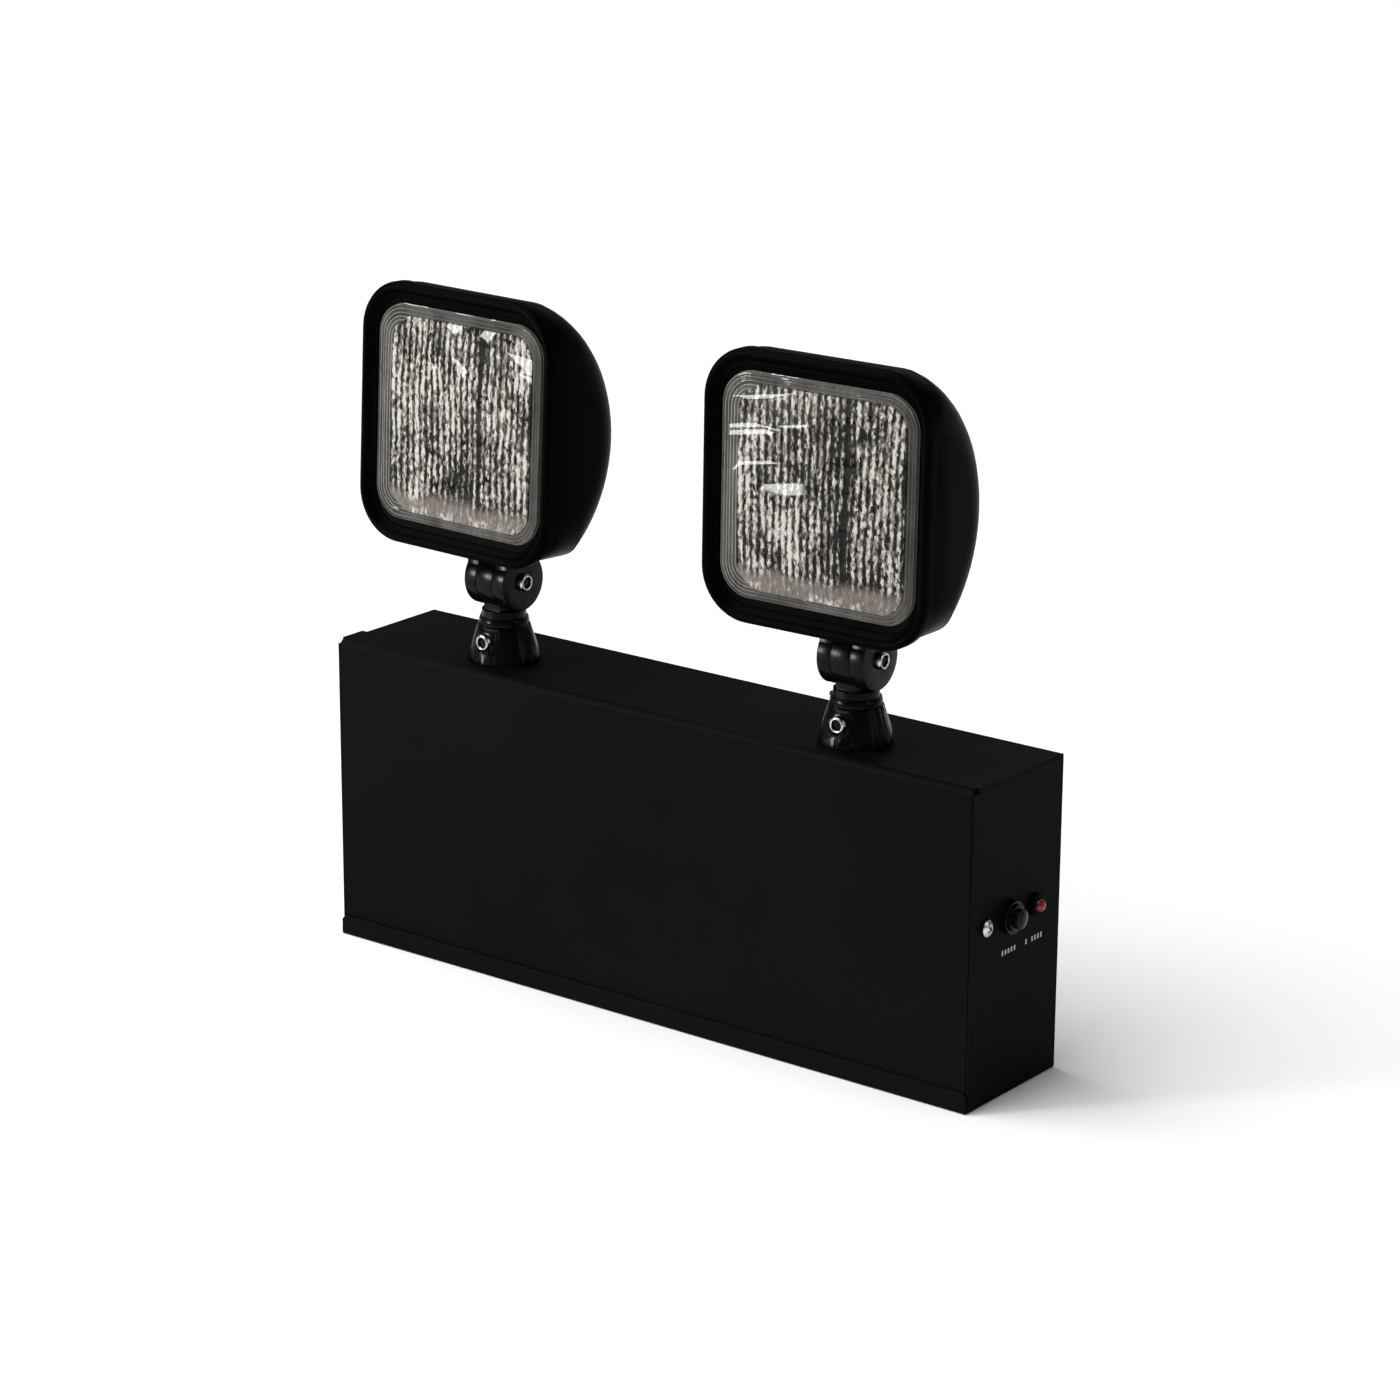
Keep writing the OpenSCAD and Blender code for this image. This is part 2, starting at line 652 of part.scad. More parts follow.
// Two ears around the tongue, joined under the shell
module head_lug() {
    difference() {
        translate([-ear_x, 0, 0]) rotate([90, 0, 90]) linear_extrude(2 * ear_x) {
            circle(knuckle_r);
            translate([2 - knuckle_r, 0]) square([knuckle_r + 1, 45]);
        }
        slab([-ear_gap / 2, -30, -30], [ear_gap / 2, 30, knuckle_r + 1.2]);
        translate([-30, 0, 0]) rotate([0, 90, 0]) cylinder(r = tilt_r + run, h = 60);
        head_form();
        // pocket for the tilt nut
        translate([-ear_x - 1, 0, 0]) rotate([0, 90, 0]) cylinder(d = 10.2 / cos(30), h = 4.2, $fn = 6);
    }
}

module tilt_screw() {
    translate([ear_x, 0, 0]) rotate([0, 90, 0]) pan_screw(4, 2.8, tilt_r, 2 * ear_x - 0.5);
}

module tilt_nut() {
    translate([-ear_x, 0, 0]) rotate([0, 90, 0]) hex_nut(10, 3, tilt_r + run);
}

// ---- placing a neck or a head on its side ----

module on_neck(side) {
    translate([side * neck_x, neck_y, top_z]) rotate([0, 0, side < 0 ? left_pan : right_pan]) children();
}

module on_head(side) {
    on_neck(side) translate([0, 0, tilt_h]) rotate([side < 0 ? -left_tilt : -right_tilt, 0, 0]) children();
}

gloss_black = [0.05, 0.05, 0.05];

module left_swivel_base() { color(gloss_black) on_neck(-1) swivel_base(); }
module left_base_screw() { color(steel) on_neck(-1) base_screw(); }
module left_pan_washer() { color([0.1, 0.1, 0.1]) on_neck(-1) translate([0, 0, base_h]) ring(collar_d / 2 - 0.3, 8.4, washer_t); }
module left_stem() { color(gloss_black) on_neck(-1) stem(); }
module left_head_lug() { color(gloss_black) on_head(-1) head_lug(); }
module left_tilt_screw() { color(steel) on_head(-1) tilt_screw(); }
module left_tilt_nut() { color(zinc) on_head(-1) tilt_nut(); }
module left_shell() { color(black) on_head(-1) shell(); }
module left_bezel() { color(black) on_head(-1) bezel(); }
module left_gasket() { color([0.1, 0.1, 0.1]) on_head(-1) gasket(); }
module left_lens() { color([0.85, 0.88, 0.9]) on_head(-1) lens(); }
module left_reflector() { color([0.85, 0.84, 0.8]) on_head(-1) reflector(); }
module left_socket() { color([0.75, 0.74, 0.7]) on_head(-1) socket(); }
module left_bulb() { color([0.9, 0.9, 0.85]) on_head(-1) bulb(); }

module right_swivel_base() { color(gloss_black) on_neck(1) swivel_base(); }
module right_base_screw() { color(steel) on_neck(1) base_screw(); }
module right_pan_washer() { color([0.1, 0.1, 0.1]) on_neck(1) translate([0, 0, base_h]) ring(collar_d / 2 - 0.3, 8.4, washer_t); }
module right_stem() { color(gloss_black) on_neck(1) stem(); }
module right_head_lug() { color(gloss_black) on_head(1) head_lug(); }
module right_tilt_screw() { color(steel) on_head(1) tilt_screw(); }
module right_tilt_nut() { color(zinc) on_head(1) tilt_nut(); }
module right_shell() { color(black) on_head(1) shell(); }
module right_bezel() { color(black) on_head(1) bezel(); }
module right_gasket() { color([0.1, 0.1, 0.1]) on_head(1) gasket(); }
module right_lens() { color([0.85, 0.88, 0.9]) on_head(1) lens(); }
module right_reflector() { color([0.85, 0.84, 0.8]) on_head(1) reflector(); }
module right_socket() { color([0.75, 0.74, 0.7]) on_head(1) socket(); }
module right_bulb() { color([0.9, 0.9, 0.85]) on_head(1) bulb(); }

back_panel();
bottom_tray();
top_panel();
left_end_plate();
right_end_plate();
front_cover();
cover_screws();
cover_nuts();
battery_case();
battery_terminals();
battery_strap();
strap_screws();
charger_board();
board_standoffs();
board_screws();
board_parts();
heat_sink();
transformer_core();
transformer_coil();
transformer_bracket();
bracket_screws();
switch_body();
switch_nut();
test_button();
pilot_bezel();
pilot_lens();
neck_lock_nuts();
neck_lock_washers();
battery_leads();
lamp_leads();
switch_leads();
left_swivel_base();
left_base_screw();
left_pan_washer();
left_stem();
left_head_lug();
left_tilt_screw();
left_tilt_nut();
left_shell();
left_bezel();
left_gasket();
left_lens();
left_reflector();
left_socket();
left_bulb();
right_swivel_base();
right_base_screw();
right_pan_washer();
right_stem();
right_head_lug();
right_tilt_screw();
right_tilt_nut();
right_shell();
right_bezel();
right_gasket();
right_lens();
right_reflector();
right_socket();
right_bulb();
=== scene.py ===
import json
from math import radians, tau

import bpy
from mathutils import Matrix, Vector


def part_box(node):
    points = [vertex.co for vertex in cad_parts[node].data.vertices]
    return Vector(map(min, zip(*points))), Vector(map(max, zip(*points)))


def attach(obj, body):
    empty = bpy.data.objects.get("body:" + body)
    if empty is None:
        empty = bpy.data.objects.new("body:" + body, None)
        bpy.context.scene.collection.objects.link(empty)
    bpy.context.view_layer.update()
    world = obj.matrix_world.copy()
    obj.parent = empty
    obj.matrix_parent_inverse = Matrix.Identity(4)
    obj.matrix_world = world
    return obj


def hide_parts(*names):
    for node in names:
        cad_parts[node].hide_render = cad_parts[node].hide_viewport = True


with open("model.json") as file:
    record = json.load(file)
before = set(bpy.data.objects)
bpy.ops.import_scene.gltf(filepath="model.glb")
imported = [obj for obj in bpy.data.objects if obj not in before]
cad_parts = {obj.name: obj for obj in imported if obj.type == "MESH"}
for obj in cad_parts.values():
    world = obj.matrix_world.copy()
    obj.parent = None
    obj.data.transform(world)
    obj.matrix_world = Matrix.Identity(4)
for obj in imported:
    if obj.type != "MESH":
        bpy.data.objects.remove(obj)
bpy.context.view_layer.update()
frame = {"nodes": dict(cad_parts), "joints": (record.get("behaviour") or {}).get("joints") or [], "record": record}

record = frame["record"]
mm = 0.001
sides = ("left", "right")


# selecting and edit mode

def clearSelection():
    if bpy.context.object and bpy.context.object.mode != "OBJECT":
        bpy.ops.object.mode_set(mode="OBJECT")
    bpy.ops.object.select_all(action="DESELECT")


def makeActive(piece):
    clearSelection()
    piece.select_set(True)
    bpy.context.view_layer.objects.active = piece


def pick(piece, kind, wanted):
    # leaves the piece in edit mode with only the wanted vertices, edges or faces selected
    if bpy.context.object is not piece or piece.mode != "OBJECT":
        makeActive(piece)
    bpy.context.tool_settings.mesh_select_mode = (kind == "vertex", kind == "edge", kind == "face")
    mesh = piece.data
    for part in (mesh.vertices, mesh.edges, mesh.polygons):
        part.foreach_set("select", [False] * len(part))
    for item in {"vertex": mesh.vertices, "edge": mesh.edges, "face": mesh.polygons}[kind]:
        item.select = bool(wanted(item))
    bpy.ops.object.mode_set(mode="EDIT")


def leaveEdit():
    bpy.ops.object.mode_set(mode="OBJECT")


def applyModifier(piece, kind, **settings):
    makeActive(piece)
    modifier = piece.modifiers.new(kind.title(), kind)
    for key, value in settings.items():
        setattr(modifier, key, value)
    bpy.ops.object.modifier_apply(modifier=modifier.name)


def smoothShade(piece, angle=35):
    makeActive(piece)
    bpy.ops.object.shade_smooth_by_angle(angle=radians(angle))


def namePiece(name):
    piece = bpy.context.object
    piece.name = piece.data.name = name
    bpy.ops.object.transform_apply(location=True, rotation=True, scale=True)
    return piece


# materials

def newFinish(name, base, roughness, metallic=0.0, specular=0.5):
    finish = bpy.data.materials.new(name)
    finish.use_nodes = True
    shader = finish.node_tree.nodes["Principled BSDF"]
    shader.inputs["Base Color"].default_value = (*base, 1)
    shader.inputs["Roughness"].default_value = roughness
    shader.inputs["Metallic"].default_value = metallic
    shader.inputs["Specular IOR Level"].default_value = specular
    return finish, shader


def addNode(finish, kind, settings=None, **inputs):
    node = finish.node_tree.nodes.new(kind)
    for key, value in (settings or {}).items():
        setattr(node, key, value)
    for key, value in inputs.items():
        socket = node.inputs[int(key[2:])] if key.startswith("in") else node.inputs[key.replace("_", " ")]
        if isinstance(value, bpy.types.NodeSocket):
            finish.node_tree.links.new(value, socket)
        else:
            socket.default_value = value
    return node


def objectPlace(finish, stretch=(1, 1, 1), turn=(0, 0, 0)):
    place = addNode(finish, "ShaderNodeTexCoord")
    return addNode(finish, "ShaderNodeMapping", Vector=place.outputs["Object"], Scale=stretch,
                   Rotation=[radians(a) for a in turn]).outputs["Vector"]


def noise(finish, place, scale, detail=3, roughness=0.5):
    return addNode(finish, "ShaderNodeTexNoise", Vector=place, Scale=scale, Detail=detail,
                   Roughness=roughness).outputs["Fac"]


def calc(finish, operation, first, second=0.0):
    return addNode(finish, "ShaderNodeMath", {"operation": operation}, in0=first, in1=second).outputs[0]


def spread(finish, value, low, high, toLow=0.0, toHigh=1.0, smooth=False):
    return addNode(finish, "ShaderNodeMapRange", {"interpolation_type": "SMOOTHSTEP" if smooth else "LINEAR"},
                   Value=value, From_Min=low, From_Max=high, To_Min=toLow, To_Max=toHigh).outputs[0]


def blendColour(finish, amount, first, second):
    node = addNode(finish, "ShaderNodeMix", {"data_type": "RGBA"})
    for socket, value in ((node.inputs[0], amount), (node.inputs[6], first), (node.inputs[7], second)):
        if isinstance(value, bpy.types.NodeSocket):
            finish.node_tree.links.new(value, socket)
        elif socket is node.inputs[0]:
            socket.default_value = value
        else:
            socket.default_value = (*value, 1)
    return node.outputs[2]


def wire(finish, shader, **inputs):
    for key, value in inputs.items():
        finish.node_tree.links.new(value, shader.inputs[key.replace("_", " ")])


def bump(finish, height, strength, distance):
    return addNode(finish, "ShaderNodeBump", Height=height, Strength=strength,
                   Distance=distance * mm).outputs["Normal"]


def grainFinish(name, look):
    # two tones mixed by a soft cloud, with a finer grain in the roughness and the bump
    finish, shader = newFinish(name, look["base"], look["rough"], look.get("metal", 0),
                               look.get("specular", 0.5))
    place = objectPlace(finish, look.get("stretch", (1, 1, 1)), look.get("turn", (0, 0, 0)))
    cloud = noise(finish, place, look.get("cloud", 25), 4)
    grain = noise(finish, place, look["grain"], 2)
    tone = spread(finish, cloud, 0.3, 0.7, smooth=True)
    patchy = calc(finish, "ADD", calc(finish, "MULTIPLY", cloud, 0.6), calc(finish, "MULTIPLY", grain, 0.4))
    swing = look.get("swing", 0.06)
    wire(finish, shader, Base_Color=blendColour(finish, tone, look["base"], look["second"]),
         Roughness=spread(finish, patchy, 0.3, 0.7, look["rough"] - swing, look["rough"] + swing),
         Normal=bump(finish, grain, look.get("strength", 0.5), look["height"]))
    for key in ("Coat Weight", "Coat Roughness", "Sheen Weight"):
        if key in look:
            shader.inputs[key].default_value = look[key]
    return finish


looks = {
    "black_sheet_steel": {"base": (0.0026, 0.0027, 0.0028), "second": (0.0034, 0.0036, 0.0037), "rough": 0.5,
                          "specular": 0.016, "cloud": 9, "grain": 1100, "height": 0.06, "strength": 0.35},
    "bright_screws": {"base": (0.62, 0.61, 0.59), "second": (0.42, 0.4, 0.37), "rough": 0.2, "metal": 1,
                      "cloud": 300, "grain": 2200, "height": 0.03},
    "gloss_black_casting": {"base": (0.0012, 0.0012, 0.0013), "second": (0.002, 0.002, 0.0021), "rough": 0.24,
                            "specular": 0.08, "cloud": 60, "grain": 420, "height": 0.09, "strength": 0.3},
    "satin_black_plastic": {"base": (0.0006, 0.0006, 0.0006), "second": (0.001, 0.001, 0.001), "rough": 0.34,
                            "specular": 0.009, "cloud": 30, "grain": 1500, "height": 0.04, "strength": 0.3},
    "gloss_black_plastic": {"base": (0.0015, 0.0015, 0.0015), "second": (0.003, 0.003, 0.003), "rough": 0.25,
                            "specular": 0.1, "cloud": 200, "grain": 1600, "height": 0.04},
    "rubber_gasket": {"base": (0.012, 0.012, 0.012), "second": (0.02, 0.02, 0.021), "rough": 0.7,
                      "specular": 0.3, "cloud": 200, "grain": 1400, "height": 0.08},
    "black_nylon": {"base": (0.002, 0.002, 0.002), "second": (0.003, 0.003, 0.003), "rough": 0.4,
                    "specular": 0.1, "cloud": 150, "grain": 900, "height": 0.04},
    "lamp_holder": {"base": (0.3, 0.29, 0.26), "second": (0.22, 0.21, 0.19), "rough": 0.6,
                    "cloud": 120, "grain": 1200, "height": 0.1},
    "battery_plastic": {"base": (0.02, 0.021, 0.024), "second": (0.032, 0.033, 0.037), "rough": 0.5,
                        "specular": 0.35, "cloud": 25, "grain": 1300, "height": 0.09},
    "tinned_brass": {"base": (0.72, 0.62, 0.36), "second": (0.6, 0.55, 0.42), "rough": 0.3, "metal": 1,
                     "cloud": 220, "grain": 1800, "height": 0.04},
    "zinc_plate": {"base": (0.55, 0.56, 0.57), "second": (0.44, 0.45, 0.4), "rough": 0.36, "metal": 1,
                   "cloud": 130, "grain": 900, "height": 0.05, "swing": 0.1},
    "green_laminate": {"base": (0.012, 0.11, 0.035), "second": (0.02, 0.15, 0.05), "rough": 0.32,
                       "cloud": 90, "grain": 700, "height": 0.05, "stretch": (1, 1, 0.25)},
    "bare_aluminium": {"base": (0.6, 0.61, 0.62), "second": (0.5, 0.5, 0.51), "rough": 0.34, "metal": 1,
                       "cloud": 90, "grain": 500, "height": 0.05, "stretch": (0.15, 1, 1)},
    "core_steel": {"base": (0.16, 0.15, 0.14), "second": (0.1, 0.08, 0.06), "rough": 0.42, "metal": 1,
                   "cloud": 70, "grain": 1000, "height": 0.3, "stretch": (0.05, 1, 0.05), "strength": 0.8},
    "coil_wrap": {"base": (0.5, 0.3, 0.09), "second": (0.58, 0.37, 0.14), "rough": 0.45,
                  "cloud": 60, "grain": 500, "height": 0.08, "stretch": (1, 1, 3)},
    "red_insulation": {"base": (0.42, 0.012, 0.01), "second": (0.34, 0.01, 0.008), "rough": 0.42,
                       "cloud": 120, "grain": 900, "height": 0.04},
    "white_insulation": {"base": (0.7, 0.69, 0.64), "second": (0.6, 0.59, 0.54), "rough": 0.42,
                         "cloud": 120, "grain": 900, "height": 0.04},
    "blue_insulation": {"base": (0.015, 0.04, 0.3), "second": (0.02, 0.05, 0.36), "rough": 0.42,
                        "cloud": 120, "grain": 900, "height": 0.04},
    "printed_marks": {"base": (0.5, 0.5, 0.48), "second": (0.3, 0.3, 0.29), "rough": 0.6,
                      "cloud": 1500, "grain": 2500, "height": 0.02},
}
finishes = {name: grainFinish(name, look) for name, look in looks.items()}


lensLook = {
    "opening": 102,               # mm, the width that the face map covers
    "flutePitch": 3.75,           # mm across one vertical flute
    "weave": 0.054,               # how far a streak wanders, as a part of the opening
    "cellWide": 1.0, "cellTall": 2.0,                # mm, one speck of the mosaic
    "streakWeight": 0.3, "cellWeight": 0.36, "fineWeight": 0.7, "coarseWeight": 0.75,
    "toBrown": (0.94, 1.03), "toCream": (1.04, 1.14), "toBright": (1.17, 1.28),
    "shadowAt": 0.655,            # where the upright shadow stands across the opening
    "bandTop": (0.1, 0.165),      # where the band along the bottom fades out
    "corner": 16, "border": 5.2,  # mm, the clear border's corner and width
    "lineRate": 360,              # the border's fine lines, in radians across the opening
    # dark, brown, cream and bright: painted reflection of the silvered reflector seen through the lens
    "dark": (0.002, 0.0018, 0.0016),
    "brown": (0.06, 0.053, 0.045),
    "cream": (0.185, 0.169, 0.147),
    "bright": (0.45, 0.434, 0.4),
    # band colours: painted reflection of the lens's lower slope
    "band": (0.12, 0.104, 0.089),
    "bandLight": (0.17, 0.151, 0.132),
    "edgeDark": (0.03, 0.031, 0.028),
    "edgeWarm": (0.075, 0.07, 0.062),
    # painted highlight on the clear border's fine lines
    "edgeHighlight": (0.28, 0.267, 0.24),
    "leftExtra": 5,               # mm that the clear border is wider on its left
    "mosaicDeep": 0.8, "waveDeep": 2.1,              # mm of bump
    "coatWeight": 0.2, "coatRough": 0.03,
}


def faceEdge(finish, uv, look):
    # how far in from the rounded edge of the opening a point is, as a part of its width
    corner = look["corner"] / look["opening"]
    centred = addNode(finish, "ShaderNodeVectorMath", {"operation": "SUBTRACT"}, in0=uv, in1=(0.5, 0.5, 0))
    folded = addNode(finish, "ShaderNodeVectorMath", {"operation": "ABSOLUTE"}, in0=centred.outputs[0])
    past = addNode(finish, "ShaderNodeVectorMath", {"operation": "SUBTRACT"}, in0=folded.outputs[0],
                   in1=(0.5 - corner, 0.5 - corner, 0)).outputs[0]
    beyond = addNode(finish, "ShaderNodeVectorMath", {"operation": "MAXIMUM"}, in0=past, in1=(0, 0, 0))
    reach = addNode(finish, "ShaderNodeVectorMath", {"operation": "LENGTH"},
                    in0=beyond.outputs[0]).outputs["Value"]
    both = addNode(finish, "ShaderNodeSeparateXYZ", Vector=past)
    inside = calc(finish, "MINIMUM", calc(finish, "MAXIMUM", both.outputs[0], both.outputs[1]), 0.0)
    return calc(finish, "SUBTRACT", corner, calc(finish, "ADD", reach, inside))


def lensFinish():
    # moulded flutes and specks, seen through a clear border; the face map runs 0 to 1 across the opening. The
    # tones of the streaks and specks are painted reflection of the silvered reflector behind the lens
    look = lensLook
    finish, shader = newFinish("clear_lens", look["cream"], 0.2, 0, 0.04)
    uv = addNode(finish, "ShaderNodeUVMap", {"uv_map": "faceMap"}).outputs["UV"]
    split = addNode(finish, "ShaderNodeSeparateXYZ", Vector=uv)
    across, up = split.outputs[0], split.outputs[1]
    edge = faceEdge(finish, uv, look)
    # streaks that wander a little
    slow = noise(finish, objectPlace(finish, (30, 30, 22)), 1, 2)
    wander = calc(finish, "MULTIPLY", calc(finish, "SUBTRACT", slow, 0.5), look["weave"])
    moved = calc(finish, "ADD", across, wander)
    streakAt = calc(finish, "MULTIPLY", moved, look["opening"] / look["flutePitch"] * tau)
    streak = spread(finish, calc(finish, "SINE", streakAt), -1, 0.6)
    # a mosaic of small tall cells, each with its own tone, and finer grain over it; the cells stand for the
    # reflector's specks, and their tones are painted reflection
    small = (1 / (look["cellWide"] * mm), 1 / (look["cellWide"] * mm), 1 / (look["cellTall"] * mm))
    ragged = noise(finish, objectPlace(finish, (700, 700, 400)), 1, 2)
    cellPlace = addNode(finish, "ShaderNodeVectorMath", {"operation": "ADD"},
                        in0=objectPlace(finish, small), in1=ragged).outputs[0]
    cell = addNode(finish, "ShaderNodeTexVoronoi", Vector=cellPlace, Scale=1, Randomness=0.9)
    cellTone = addNode(finish, "ShaderNodeSeparateXYZ", Vector=cell.outputs["Color"]).outputs[0]
    fine = noise(finish, objectPlace(finish, (620, 620, 300)), 1, 3, 0.6)
    coarse = noise(finish, objectPlace(finish, (85, 85, 40)), 1, 2)
    parts = ((streak, look["streakWeight"]), (cellTone, look["cellWeight"]),
             (fine, look["fineWeight"]), (coarse, look["coarseWeight"]))
    mosaic = 0.0
    for value, weight in parts:
        mosaic = calc(finish, "ADD", calc(finish, "MULTIPLY", value, weight), mosaic)
    # a dark upright shadow right of the middle
    shadowAt = calc(finish, "ABSOLUTE", calc(finish, "SUBTRACT", moved, look["shadowAt"]))
    mosaic = calc(finish, "SUBTRACT", mosaic, spread(finish, shadowAt, 0.004, 0.03, 0.3, 0.0, True))
    mosaic = calc(finish, "SUBTRACT", mosaic, spread(finish, shadowAt, 0.0, 0.3, 0.07, 0.0, True))
    # painted reflection: dark gaps, brown, cream and bright specks, as the reflector mirrors its surroundings
    # through the lens
    toBrown = spread(finish, mosaic, *look["toBrown"], smooth=True)
    toCream = spread(finish, mosaic, *look["toCream"], smooth=True)
    toBright = spread(finish, mosaic, *look["toBright"], smooth=True)
    body = blendColour(finish, toBrown, look["dark"], look["brown"])
    body = blendColour(finish, toCream, body, look["cream"])
    body = blendColour(finish, toBright, body, look["bright"])
    # smoother taupe band along the bottom, with a row of bright specks under it; the band is painted reflection of
    # the lens's lower slope and the specks are painted glints
    ripple = calc(finish, "MULTIPLY", calc(finish, "SUBTRACT", coarse, 0.5), 0.1)
    lowAt = calc(finish, "ADD", up, ripple)
    low = spread(finish, lowAt, *look["bandTop"], 1.0, 0.0, True)
    bandTone = blendColour(finish, spread(finish, fine, 0.4, 0.65), look["band"], look["bandLight"])
    colour = blendColour(finish, calc(finish, "MULTIPLY", low, 0.92), body, bandTone)
    glintRow = calc(finish, "MULTIPLY", spread(finish, lowAt, 0.05, 0.065, 0, 1, True),
                    spread(finish, lowAt, 0.08, 0.1, 1, 0, True))
    glintRow = calc(finish, "MULTIPLY", glintRow,
                    spread(finish, calc(finish, "ADD", coarse, fine), 1.02, 1.12))
    glintRow = calc(finish, "MULTIPLY", glintRow, spread(finish, cellTone, 0.2, 0.8, 0.25, 0.9))
    colour = blendColour(finish, glintRow, colour, look["bright"])
    # clear border with fine raised lines, strongest down the left side; the lines' light colour is painted
    # highlight, and a painted highlight line runs along the edge of the opening
    leftSide = spread(finish, across, 0.1, 0.22, look["leftExtra"] / look["opening"], 0, True)
    borderPart = look["border"] / look["opening"]
    rim = spread(finish, calc(finish, "SUBTRACT", edge, leftSide), borderPart - 0.006, borderPart, 1, 0)
    ringAt = calc(finish, "SINE", calc(finish, "MULTIPLY", edge, look["lineRate"]))
    lines = spread(finish, ringAt, 0.55, 1, 0, 1, True)
    strong = spread(finish, across, 0.05, 0.3, 0.8, 0.22, True)
    lines = calc(finish, "MULTIPLY", calc(finish, "MULTIPLY", lines, strong),
                 spread(finish, fine, 0.3, 0.55, 0.5, 1))
    edgeHighlightLine = spread(finish, edge, 0.004, 0.009, 0.6, 0, True)
    lines = calc(finish, "MAXIMUM", lines, edgeHighlightLine)
    edgeTone = blendColour(finish, spread(finish, coarse, 0.35, 0.65), look["edgeDark"], look["edgeWarm"])
    colour = blendColour(finish, rim, colour, blendColour(finish, lines, edgeTone, look["edgeHighlight"]))
    # the outer face is wavy, so what it mirrors shows as bent patches
    dents = addNode(finish, "ShaderNodeTexVoronoi", {"distance": "CHEBYCHEV"},
                    Vector=objectPlace(finish, (26, 26, 80), (0, 28, 0)), Scale=1, Randomness=0.8)
    wave = bump(finish, dents.outputs["Distance"], 1.0, look["waveDeep"])
    wire(finish, shader, Base_Color=colour, Coat_Normal=wave,
         Normal=bump(finish, mosaic, 0.6, look["mosaicDeep"]),
         Roughness=spread(finish, fine, 0.3, 0.7, 0.12, 0.3))
    shader.inputs["Coat Weight"].default_value = look["coatWeight"]
    shader.inputs["Coat Roughness"].default_value = look["coatRough"]
    return finish


def reflectorFinish():
    finish, shader = newFinish("silvered_reflector", (0.78, 0.77, 0.74), 0.16, 1)
    cells = addNode(finish, "ShaderNodeTexVoronoi", Vector=objectPlace(finish), Scale=340).outputs["Distance"]
    wire(finish, shader, Normal=bump(finish, cells, 0.8, 0.6),
         Base_Color=blendColour(finish, cells, (0.8, 0.79, 0.76), (0.6, 0.58, 0.54)))
    return finish


def glassFinish(name, base, transmission, rough=0.05):
    finish, shader = newFinish(name, base, rough, 0, 0.5)
    haze = noise(finish, objectPlace(finish), 500, 2)
    deep = tuple(c * 0.7 for c in base)
    wire(finish, shader, Roughness=spread(finish, haze, 0.3, 0.7, rough, rough + 0.06),
         Base_Color=blendColour(finish, haze, base, deep), Normal=bump(finish, haze, 0.15, 0.05))
    shader.inputs["Transmission Weight"].default_value = transmission
    return finish


finishes["clear_lens"] = lensFinish()
finishes["silvered_reflector"] = reflectorFinish()
finishes["bulb_glass"] = glassFinish("bulb_glass", (0.9, 0.9, 0.88), 0.9)
finishes["red_lens"] = glassFinish("red_lens", (0.22, 0.006, 0.014), 0.25, 0.1)
print("finishes ready:", len(finishes))


# what the frame says about each node
bodyOf = {node: body for body, nodes in record["behaviour"]["bodies"].items() for node in nodes}
slotOf = {row["node"]: row["material_slot"] for row in record["subparts"]}
for nodeName, node in frame["nodes"].items():
    node.data.materials.clear()
    node.data.materials.append(finishes[slotOf[nodeName]])
print("CAD nodes dressed:", len(frame["nodes"]))


def finishPiece(piece, nodeName, slotName=None, standsFor=True):
    slotName = slotName or slotOf[nodeName]
    piece.data.materials.clear()
    piece.data.materials.append(finishes[slotName])
    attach(piece, bodyOf[nodeName])
    if standsFor:
        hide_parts(nodeName)


# CAD parts that only need their edges broken, by this many mm; 0 smooths a part and leaves its edges

softEdges = {
    "front_cover": 0.35, "top_panel": 0.3, "back_panel": 0.3, "bottom_tray": 0.4,
    "left_end_plate": 0.3, "right_end_plate": 0.3,
    "cover_screws": 0.12, "battery_case": 0, "battery_strap": 0.2, "transformer_bracket": 0.2,
    "left_swivel_base": 0, "right_swivel_base": 0, "left_stem": 0.18, "right_stem": 0.18,
    "left_head_lug": 0.18, "right_head_lug": 0.18, "left_shell": 0.4, "right_shell": 0.4,
    "left_tilt_nut": 0.3, "right_tilt_nut": 0.3,
}
# here the bevels' normals follow the large faces, which then stay flat
flatSided = ("front_cover", "top_panel", "back_panel", "bottom_tray", "left_end_plate", "right_end_plate",
             "battery_case", "battery_strap", "transformer_bracket")


def softened(nodeName, width):
    source = frame["nodes"][nodeName]
    piece = bpy.data.objects.new(nodeName + "Edged", source.data.copy())
    bpy.context.scene.collection.objects.link(piece)
    pick(piece, "vertex", lambda v: True)
    bpy.ops.mesh.remove_doubles(threshold=0.002 * mm)
    bpy.ops.mesh.dissolve_limited(angle_limit=radians(0.6))
    leaveEdit()
    if width:
        applyModifier(piece, "BEVEL", width=width * mm, segments=3, limit_method="ANGLE",
                      angle_limit=radians(40))
    smoothShade(piece, 32)
    if nodeName in flatSided:
        applyModifier(piece, "WEIGHTED_NORMAL", mode="FACE_AREA", weight=100, keep_sharp=True)
    finishPiece(piece, nodeName)


for nodeName, width in softEdges.items():
    softened(nodeName, width)
print("CAD parts softened:", len(softEdges))


# lamp heads, made once about the tilt axis and copied to both sides

joints = {joint["name"]: joint for joint in frame["joints"]}
tiltNow = {"left": 3, "right": 1}             # degrees that each head looks up at rest


